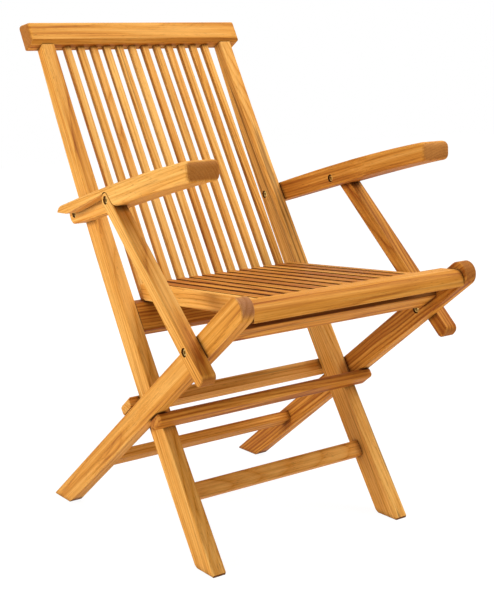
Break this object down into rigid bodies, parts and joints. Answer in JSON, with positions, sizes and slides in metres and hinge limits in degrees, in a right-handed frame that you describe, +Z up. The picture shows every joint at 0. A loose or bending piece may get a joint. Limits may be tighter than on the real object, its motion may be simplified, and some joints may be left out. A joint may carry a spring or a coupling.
{
  "type": "folding armchair",
  "caption": "Slatted teak folding armchair: crossing legs, a hinged seat and arms on pivoting struts that fold up against the tall back.",
  "frame": {"origin": "On the floor, under the middle of the chair's outer box in X and Y.", "axes": "+Z up, the chair faces -Y, X runs across its width with +X to the sitter's left."},
  "size_m": [0.5092, 0.7056, 0.9003],
  "materials": {
    "teak": "oiled teak, satin",
    "brass": "satin brass"
  },
  "bodies": {
    "back_frame": {"left_stile": "teak", "right_stile": "teak", "crest_rail": "teak", "low_back_rail": "teak", "front_stretcher": "teak", "front_stop_rail": "teak", "rear_stop_rail": "teak", "back_slat_01": "teak", "back_slat_02": "teak", "back_slat_03": "teak", "back_slat_04": "teak", "back_slat_05": "teak", "back_slat_06": "teak", "back_slat_07": "teak", "back_slat_08": "teak", "back_slat_09": "teak", "back_slat_10": "teak", "back_slat_11": "teak", "back_slat_12": "teak", "left_crossing_pin": "brass", "right_crossing_pin": "brass", "left_stile_nut": "brass", "right_stile_nut": "brass"},
    "leg_frame": {"left_leg": "teak", "right_leg": "teak", "leg_tip_rail": "teak", "leg_foot_rail": "teak", "left_leg_nut": "brass", "right_leg_nut": "brass"},
    "seat": {"seat_front_rail": "teak", "seat_rear_rail": "teak", "seat_left_rail": "teak", "seat_right_rail": "teak", "seat_slat_01": "teak", "seat_slat_02": "teak", "seat_slat_03": "teak", "seat_slat_04": "teak", "seat_slat_05": "teak", "seat_slat_06": "teak", "seat_slat_07": "teak", "seat_slat_08": "teak", "seat_slat_09": "teak", "seat_slat_10": "teak", "seat_slat_11": "teak", "left_seat_pin": "brass", "right_seat_pin": "brass"},
    "left_arm_body": {"left_arm": "teak", "left_arm_screw": "brass", "left_arm_nut": "brass"},
    "left_strut_body": {"left_strut": "teak", "left_strut_head_screw": "brass", "left_strut_foot_screw": "brass"},
    "right_arm_body": {"right_arm": "teak", "right_arm_screw": "brass", "right_arm_nut": "brass"},
    "right_strut_body": {"right_strut": "teak", "right_strut_head_screw": "brass", "right_strut_foot_screw": "brass"}
  },
  "joints": [
    {"name": "frame_fold", "type": "hinge", "parent": "back_frame", "child": "leg_frame", "pos_m": [0, -0.02119, 0.237], "axis": [-1, 0, 0], "range_deg": [0, 71]},
    {"name": "seat_fold", "type": "hinge", "parent": "leg_frame", "child": "seat", "pos_m": [0, -0.32894, 0.45249], "axis": [1, 0, 0], "range_deg": [0, 132.8]},
    {"name": "left_arm_fold", "type": "hinge", "parent": "back_frame", "child": "left_arm_body", "pos_m": [0, 0.1718, 0.56202], "axis": [-1, 0, 0], "range_deg": [0, 96.85]},
    {"name": "left_strut_fold", "type": "hinge", "parent": "left_arm_body", "child": "left_strut_body", "pos_m": [0, -0.00421, 0.59675], "axis": [1, 0, 0], "range_deg": [0, 107.7]},
    {"name": "right_arm_fold", "type": "hinge", "parent": "back_frame", "child": "right_arm_body", "pos_m": [0, 0.1718, 0.56202], "axis": [-1, 0, 0], "range_deg": [0, 96.85]},
    {"name": "right_strut_fold", "type": "hinge", "parent": "right_arm_body", "child": "right_strut_body", "pos_m": [0, -0.00421, 0.59675], "axis": [1, 0, 0], "range_deg": [0, 107.7]}
  ],
  "couplings": [
    {"joint": "seat_fold", "follows": "frame_fold", "ratio": 1.87},
    {"joint": "left_arm_fold", "follows": "frame_fold", "ratio": 1.3635},
    {"joint": "left_strut_fold", "follows": "frame_fold", "ratio": 1.5164},
    {"joint": "right_arm_fold", "follows": "frame_fold", "ratio": 1.3635},
    {"joint": "right_strut_fold", "follows": "frame_fold", "ratio": 1.5164}
  ]
}
